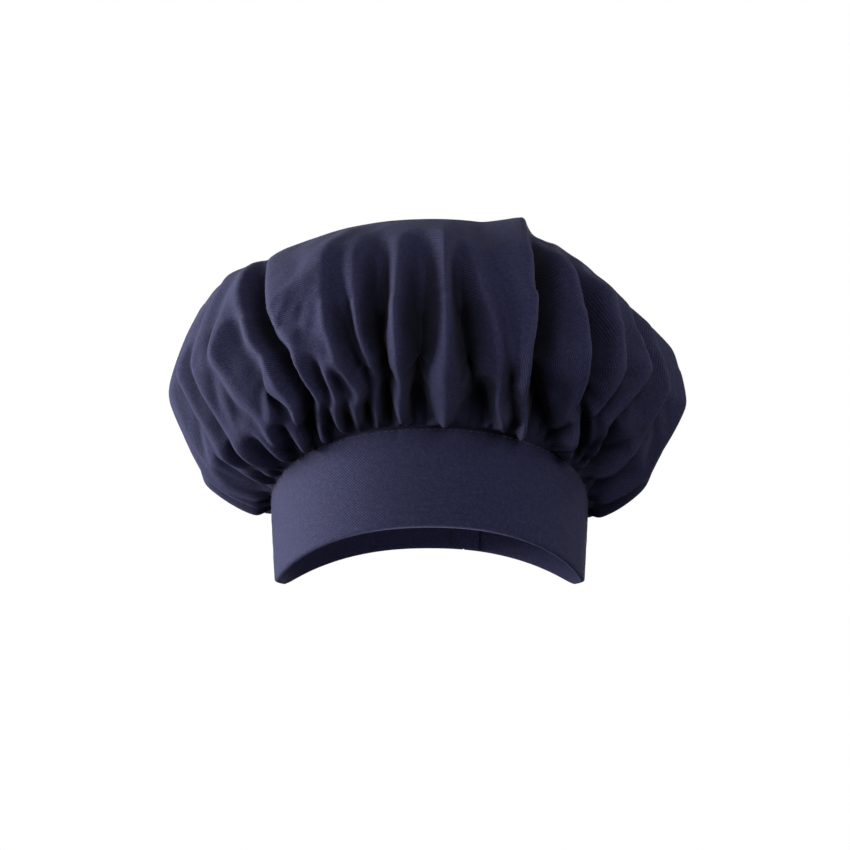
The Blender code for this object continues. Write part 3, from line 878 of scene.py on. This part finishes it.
def band_relief(azimuth, height):
    """How far the band's outer leaf stands off its plain shape: slack cloth, and puckers at the stitches."""
    share = (height - rim_height(azimuth)) / (seam_height(azimuth) - rim_height(azimuth))
    below = seam_height(azimuth) - height
    at_nape = smooth_step(np.cos(azimuth), -0.72, -0.45)
    slack = BAND_WAVE * 4 * share * (1 - share) * (0.5 + 0.5 * mixed_waves(azimuth + 2 * share, WAVES))
    pucker = BAND_PUCKER * np.exp(-np.abs(below - STITCH_INSET) / (5 * MM)) * mixed_waves(azimuth, PUCKERS)
    pressed = smooth_step(STITCH_INSET * 1.6 - below, 0, STITCH_INSET * 1.6)
    return at_nape * slack + pucker - BAND_PRESS * pressed


def make_headband():
    """One strip of cloth: outer leaf, a soft fold along the rim, inner leaf."""
    bend = (BAND_THICKNESS - LEAF) / 2

    def place(along, up):
        azimuth = RUN_START + (RUN_END - RUN_START) * along
        side = np.abs(2 * up - 1)
        leaf = np.clip((side - BAND_FOLD) / (1 - BAND_FOLD), 0, 1)
        turn = np.clip(1 - (2 * up - 1) / BAND_FOLD, 0, 2) * math.pi / 2
        centre = rim_height(azimuth) + LEAF / 2 + bend
        top = seam_height(azimuth) - GAP - LEAF / 2
        height = centre - bend * np.sin(turn) + (top - centre) * leaf
        offset = -BAND_THICKNESS / 2 + bend * np.cos(turn)
        relief = band_relief(azimuth, height) * leaf ** 0.5
        offset += np.where(up > 0.5, relief, -0.4 * relief)
        return band_point(azimuth, height, offset)

    finish_piece(sheet("headband_cloth", place, 600, 60, LEAF), "hat", "twill", "headband")


def make_interfacing():
    """The stiff strip between the band's leaves."""
    def place(along, up):
        azimuth = RUN_START + (RUN_END - RUN_START) * (0.002 + 0.996 * along)
        low = rim_height(azimuth) + LEAF + GAP
        high = seam_height(azimuth) - SEAM_ALLOWANCE - 2 * GAP - 4 * THREAD
        return band_point(azimuth, low + (high - low) * up, -BAND_THICKNESS / 2)

    strip = sheet("interfacing_strip", place, 180, 12, CLOTH)
    finish_piece(strip, "hat", "interfacing", "band_interfacing")


def make_underlap():
    """The doubled strip behind the band's slit."""
    def place(along, up):
        azimuth = back_azimuth(UNDERLAP[0] + (UNDERLAP[1] - UNDERLAP[0]) * along)
        low = rim_height(azimuth) + GAP
        high = seam_height(azimuth) - UNDERLAP_DROP
        sway = UNDERLAP_SWAY * (np.sin(9 * up + 3 * along) - 1)
        offset = sway - BAND_THICKNESS - GAP - UNDERLAP_THICKNESS / 2
        return band_point(azimuth, low + (high - low) * up, offset)

    strip = sheet("underlap_strip", place, 18, 40, UNDERLAP_THICKNESS)
    finish_piece(strip, "hat", "twill", "band_underlap")


# ---- Stitches
def sew(name, replaced, rows, body="hat", length=STITCH_LENGTH, space=STITCH_SPACE):
    """Separate stitches along rows of (points, outward normals). Each dips into the cloth at both ends."""
    sides, rings = 6, 9
    shares = np.linspace(0, 1, rings)
    lift = THREAD * (1.5 * np.sin(math.pi * shares) ** 0.5 - 0.9)
    width = THREAD * np.maximum(0.35, np.sin(math.pi * shares) ** 0.35)
    turns = np.arange(sides) * TURN / sides
    points, faces, flat = [], [], []
    for path, normals in rows:
        way = way_along(path)
        number = max(1, round((way[-1] + space) / (length + space)))
        pitch = (way[-1] + space) / number
        for index in range(number):
            begin = index * pitch + RANDOM.uniform(-0.08, 0.08) * space
            at = begin + (pitch - space) * shares
            centre, normal = (np.stack([np.interp(at, way, values) for values in rule.T], axis=-1)
                              for rule in (path, normals))
            normal /= np.linalg.norm(normal, axis=1, keepdims=True)
            along = np.gradient(centre, axis=0)
            along /= np.linalg.norm(along, axis=1, keepdims=True)
            sideways = np.cross(normal, along)
            tilt = RANDOM.uniform(-0.12, 0.12) * MM * (shares - 0.5)
            centre = centre + normal * lift[:, None] + sideways * tilt[:, None]
            first = len(points) * rings * sides
            spokes = (np.cos(turns)[None, :, None] * normal[:, None]
                      + np.sin(turns)[None, :, None] * sideways[:, None])
            ring = centre[:, None] + width[:, None, None] * spokes
            points.append(ring.reshape(-1, 3))
            places = np.broadcast_arrays(at[:, None], THREAD * turns[None])
            flat.append(np.stack(places, axis=-1).reshape(-1, 2))
            for step in range(rings - 1):
                for side in range(sides):
                    low = first + step * sides
                    beside = (side + 1) % sides
                    faces.append((low + side, low + beside, low + sides + beside, low + sides + side))
            faces.append([first + side for side in reversed(range(sides))])
            faces.append([first + (rings - 1) * sides + side for side in range(sides)])
    piece = new_object(name, new_mesh(name, np.concatenate(points), faces, np.concatenate(flat)))
    finish_piece(piece, body, "sewing_thread", replaced)


def row_of(place, *where, outward=1):
    """Points and outward normals for stitches, from a rule for points whose last argument is an offset."""
    path = place(*where)
    return path, place(*where[:-1], where[-1] + outward * MM) - path


def band_row(azimuths, below_seam, offset, relief=0.0):
    """A row round the band's outer or inner face."""
    height = seam_height(azimuths) - below_seam
    face = offset + relief * band_relief(azimuths, height)
    return row_of(band_point, azimuths, height, face, outward=1 if offset >= 0 else -1)


def make_band_stitches():
    azimuths = np.linspace(RUN_START + 0.008, RUN_END - 0.008, 1200)
    sew("topstitches", "topstitch_thread", [band_row(azimuths, STITCH_INSET, 0.0, 1.0)])
    inner = band_row(azimuths, STITCH_INSET, -BAND_THICKNESS, -0.4)
    sew("bobbin_stitches", "topstitch_bobbin_thread", [inner])
    gathering = band_row(azimuths, SEAM_ALLOWANCE + GAP + 2 * THREAD, -BAND_THICKNESS / 2)
    sew("gathering_stitches", "gathering_thread", [gathering], length=5 * MM, space=0.5 * MM)


# ---- Closure at the nape
def closure_point(along, up, offset):
    """A point at the nape, at a height from the band's middle line."""
    azimuth = back_azimuth(along)
    return band_point(azimuth, (rim_height(azimuth) + seam_height(azimuth)) / 2 + up, offset)


def tape_level(number):
    """Lowest face of the layers that lie on the band at the nape, counted outwards from 0."""
    return GAP + number * (TAPE_THICKNESS + GAP)


def tab_offset(position):
    """Inner face of the tab: against the band at the root, over both tapes further on."""
    share = smooth_step(TAB_ROOT_END - position, 0, TAB_ROOT_END - HOOK_TAPE[1])
    return GAP + (tape_level(2) - GAP) * share


def make_tab():
    """The tab, one piece of cloth from its sewn root, across its hinge, to its rounded tip."""
    def place(along, up):
        position = TAB_TIP + (TAB_ROOT_END - TAB_TIP) * along
        into_tip = np.clip(TAB_TIP + TAB_TIP_ROUNDING - position, 0, TAB_TIP_ROUNDING)
        half = TAB_HEIGHT / 2 - TAB_TIP_ROUNDING + np.sqrt(TAB_TIP_ROUNDING ** 2 - into_tip ** 2)
        free = smooth_step(TAB_HINGE - position, 0, 20 * MM)
        sway = 0.25 * MM * free * np.sin(position / (9 * MM)) * (2 * up - 1)
        return closure_point(position, half * (2 * up - 1), tab_offset(position) + TAB_THICKNESS / 2 + sway)

    tab = sheet("tab_cloth", place, 110, 36, TAB_THICKNESS)
    finish_piece(tab, None, "twill", "closure_tab", "closure_tab_root")
    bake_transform(tab)


def make_tape(name, replaced, ends, level, outward, curl, body):
    """A woven tape with its pile: rows of hooks, or a tangle of loops."""
    def place(along, up):
        return closure_point(ends[0] + (ends[1] - ends[0]) * along, TAPE_HEIGHT * (up - 0.5),
                             level + TAPE_THICKNESS / 2)

    tape = sheet(name, place, 60, 16, TAPE_THICKNESS)
    shapes = bmesh.new()
    shapes.from_mesh(tape.data)
    layer = shapes.loops.layers.uv["cloth"]
    face = level + (TAPE_THICKNESS if outward > 0 else 0)
    along_count = int((ends[1] - ends[0] - 2 * MM) / PILE_SPACING)
    up_count = int((TAPE_HEIGHT - 2 * MM) / PILE_SPACING)
    shares = np.linspace(0, 1, 6)
    for column in range(along_count + 1):
        for row in range(up_count + 1):
            middle = ends[0] + MM + column * PILE_SPACING + RANDOM.uniform(-1, 1) * curl * PILE_SPACING / 2
            up = MM - TAPE_HEIGHT / 2 + row * PILE_SPACING + RANDOM.uniform(-1, 1) * curl * PILE_SPACING / 2
            if any(abs(abs(place_up) - edge) < 0.5 * MM for place_up, edge in (
                    (up, TAPE_HEIGHT / 2 - STITCH_INSET),
                    (middle - (ends[0] + ends[1]) / 2, (ends[1] - ends[0]) / 2 - STITCH_INSET))):
                continue
            heading = RANDOM.uniform(0, TURN) * curl
            reach = 0.45 * MM * RANDOM.uniform(0.8, 1.3)
            swing = math.pi * (1.0 if curl else 0.8)
            ahead = reach * (1 - np.cos(swing * shares)) / 2
            tall = PILE_HEIGHT * np.sin(swing * shares)
            centre = closure_point(middle + ahead * math.cos(heading), up + ahead * math.sin(heading),
                                   face + outward * tall)
            ring = [[shapes.verts.new(point + offset) for offset in PILE_SECTION] for point in centre]
            for low, high in zip(ring, ring[1:]):
                for side in range(3):
                    beside = (side + 1) % 3
                    quad = shapes.faces.new((low[side], low[beside], high[beside], high[side]))
                    for loop in quad.loops:
                        loop[layer].uv = (middle, up)
    shapes.to_mesh(tape.data)
    shapes.free()
    tape.data.shade_smooth()
    finish_piece(tape, body, "fastener_tape", replaced)


def box_rows(ends, half_height, face, outward=1):
    """Four rows of stitches round a rectangle."""
    low, high = ends[0] + STITCH_INSET, ends[1] - STITCH_INSET
    along, across = np.linspace(low, high, 60), np.linspace(-half_height, half_height, 40)
    rows = []
    for up in (-half_height, half_height):
        rows.append(row_of(closure_point, along, up + 0 * along, face(along), outward=outward))
    for position in (low, high):
        positions = position + 0 * across
        rows.append(row_of(closure_point, positions, across, face(positions), outward=outward))
    return rows


def make_closure():
    make_tab()
    make_tape("hook_tape_pile", "hook_tape", HOOK_TAPE, tape_level(1), outward=-1, curl=0, body="tab")
    make_tape("loop_tape_pile", "loop_tape", LOOP_TAPE, tape_level(0), outward=1, curl=1, body="hat")

    def tab_face(position):
        return tab_offset(position) + TAB_THICKNESS

    def tape_face(position):
        return tape_level(1) - GAP - THREAD / 2 + 0 * position

    def band_inside(position):
        return -BAND_THICKNESS + 0 * position

    half = TAPE_HEIGHT / 2 - STITCH_INSET
    sew("hook_tape_stitches", "hook_tape_stitch", box_rows(HOOK_TAPE, half, tab_face), "tab")
    loop_rows = box_rows(LOOP_TAPE, half, tape_face) + box_rows(LOOP_TAPE, half, band_inside, -1)
    sew("loop_tape_stitches", "loop_tape_stitch", loop_rows)
    root_rows = box_rows((TAB_HINGE, TAB_ROOT_END), TAB_HEIGHT / 2 - STITCH_INSET, tab_face)
    sew("tab_root_stitches", "tab_root_stitch", root_rows)
    sew("tab_edge_stitches", "tab_edge_stitch", [tab_edge_row(tab_face)], "tab")


def tab_edge_row(face):
    """The row that runs round the free edge of the tab."""
    half = TAB_HEIGHT / 2 - STITCH_INSET
    rounding = TAB_TIP_ROUNDING - STITCH_INSET
    bend = TAB_TIP + STITCH_INSET + rounding
    straight = np.linspace(TAB_HINGE - 4 * MM, bend, 90)
    turn = np.linspace(0, math.pi / 2, 20)[1:]
    positions = np.concatenate([straight, bend - rounding * np.sin(turn)])
    ups = np.concatenate([half + 0 * straight, half - rounding * (1 - np.cos(turn))])
    positions = np.concatenate([positions, positions[::-1]])
    ups = np.concatenate([ups, -ups[::-1]])
    return row_of(closure_point, positions, ups, face(positions))


def make_underlap_stitches():
    azimuth = back_azimuth(UNDERLAP[1] - STITCH_INSET)
    top = seam_height(azimuth) - UNDERLAP_DROP
    heights = np.linspace(rim_height(azimuth) + STITCH_INSET, top - STITCH_INSET, 60)
    face = -BAND_THICKNESS - GAP - UNDERLAP_SWAY - UNDERLAP_THICKNESS
    row = row_of(band_point, azimuth + 0 * heights, heights, face, outward=-1)
    sew("underlap_stitches", "underlap_stitch", [row])


# ---- Slit of the crown
def beside_slit(across, rise, lift):
    """A point off the crown's outer face, at a distance from the middle of its slit."""
    azimuth = SLIT_AZIMUTH - across / CROWN_HALF_DEPTH
    return crown_base(azimuth, rise) + crown_normal(azimuth, rise) * lift


def make_slit_facing():
    """The binding that goes up one side of the slit, over its top and down the other side."""
    low, high = FACING_RISE

    def place(along, up):
        over = np.clip((along - 0.45) / 0.1, 0, 1) * 2 - 1
        climb = np.clip(np.minimum(along, 1 - along) / 0.45, 0, 1)
        inner = (over * SLIT_WIDTH * 0.6, low + (CROWN_SLIT_TOP - low) * climb)
        outer = (over * FACING_WIDTH, low + (high - low) * climb)
        across = inner[0] + (outer[0] - inner[0]) * up
        rise = inner[1] + (outer[1] - inner[1]) * up
        return beside_slit(across, rise, CLOTH + FACING_LIFT)

    finish_piece(sheet("slit_binding", place, 80, 10, CLOTH), "hat", "twill", "crown_slit_facing")


def make_bartack():
    """Close stitches side by side in a bar across the slit's upper end."""
    rows = []
    for across in np.linspace(-BARTACK_REACH, BARTACK_REACH, 15):
        rises = np.linspace(BARTACK_RISE - 0.008, BARTACK_RISE + 0.008, 8)
        rows.append(row_of(beside_slit, across + 0 * rises, rises, 1.6 * CLOTH + FACING_LIFT))
    sew("bartack_stitches", "slit_bartack", rows, length=2 * MM, space=0.0)


# ---- Care label
def make_label():
    """A blank satin label: its upper edge lies under its stitches, and the rest hangs off the band."""
    top = seam_height(math.pi) - LABEL_DROP
    face_y = band_point(np.array([math.pi]), np.array([top]), -BAND_THICKNESS)[0, 1]

    def place(along, up):
        across = LABEL_WIDTH * (along - 0.5)
        height = top - LABEL_LENGTH + (LABEL_LENGTH + LABEL_HEAD) * up
        azimuth = back_azimuth(across)
        sewn = smooth_step(height, top - LABEL_BEND, top)
        against = band_point(azimuth, height, -BAND_THICKNESS - LABEL_THICKNESS / 2 - 0.1 * MM)
        curl = 0.8 * MM * (2 * along - 1) ** 2 * (1 - up)
        wave = 0.5 * MM * np.sin(5 * up + 2 * along) * (1 - sewn)
        hanging = np.stack([across, face_y - LABEL_STAND_OFF + (curl + wave), height], axis=-1)
        return hanging + (against - hanging) * sewn[:, None]

    label = sheet("label_ribbon", place, 40, 48, LABEL_THICKNESS)
    finish_piece(label, None, "label_satin", "care_label")
    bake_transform(label)
    across = np.linspace(-LABEL_WIDTH / 2 + STITCH_INSET, LABEL_WIDTH / 2 - STITCH_INSET, 40)
    heights = top + GAP + 2 * THREAD + 0 * across
    face = -BAND_THICKNESS - LABEL_THICKNESS - 0.15 * MM
    row = row_of(band_point, back_azimuth(across), heights, face, outward=-1)
    sew("label_stitches", "care_label_stitch", [row])


# ---- Studio
def make_camera():
    lens = bpy.data.cameras.new("camera")
    lens.lens = CAMERA_LENS
    lens.sensor_width = 36
    camera = new_object("camera", lens)
    camera.location = CAMERA_PLACE
    camera.rotation_euler = (math.radians(90 + CAMERA_TILT), 0, 0)
    bpy.context.scene.camera = camera


def soft_light(name, location, size, power):
    """A square light that faces the hat and isn't seen itself."""
    light = bpy.data.lights.new(name, "AREA")
    light.size = size
    light.energy = power
    lamp = new_object(name, light)
    lamp.location = location
    lamp.rotation_euler = (HAT_MIDDLE - Vector(location)).to_track_quat("-Z", "Y").to_euler()
    lamp.visible_camera = False


def make_floor():
    """A pale round floor, well below the hat, that a camera below it sees through."""
    shape = bmesh.new()
    bmesh.ops.create_circle(shape, cap_ends=True, segments=96, radius=FLOOR_RADIUS)
    mesh = bpy.data.meshes.new("floor")
    shape.to_mesh(mesh)
    shape.free()
    floor = new_object("floor", mesh)
    floor.location.z = FLOOR_HEIGHT
    paper = bpy.data.materials.new("pale_paper")
    paper.use_nodes = True
    tree = paper.node_tree
    glow = node(tree, "Emission", {"Color": (*WHITE, 1)})
    matt = node(tree, "BsdfDiffuse", {"Color": FLOOR_GREY})
    seen = node(tree, "LightPath").outputs["Is Camera Ray"]
    upper_side = node(tree, "MixShader", {0: seen, 1: matt.outputs[0], 2: glow.outputs[0]})
    under_side = node(tree, "BsdfTransparent")
    behind = node(tree, "NewGeometry").outputs["Backfacing"]
    mixed = node(tree, "MixShader", {0: behind, 1: upper_side.outputs[0], 2: under_side.outputs[0]})
    tree.links.new(mixed.outputs[0], tree.nodes["Material Output"].inputs["Surface"])
    mesh.materials.append(paper)


def make_studio():
    """Camera, floor and lights. The world looks white to the camera, and hardly lights the hat."""
    make_camera()
    make_floor()
    for name, (place, size, power) in LIGHTS.items():
        soft_light(name, place, size, power)
    world = bpy.data.worlds.new("studio")
    bpy.context.scene.world = world
    world.use_nodes = True
    tree = world.node_tree
    seen = node(tree, "LightPath").outputs["Is Camera Ray"]
    tree.links.new(blended(tree, seen, WORLD_GREY, WHITE), tree.nodes["Background"].inputs["Color"])
    bpy.context.scene.view_settings.view_transform = "Standard"


make_crown()
make_headband()
make_interfacing()
make_underlap()
make_underlap_stitches()
make_band_stitches()
make_closure()
make_slit_facing()
make_bartack()
make_label()
make_studio()
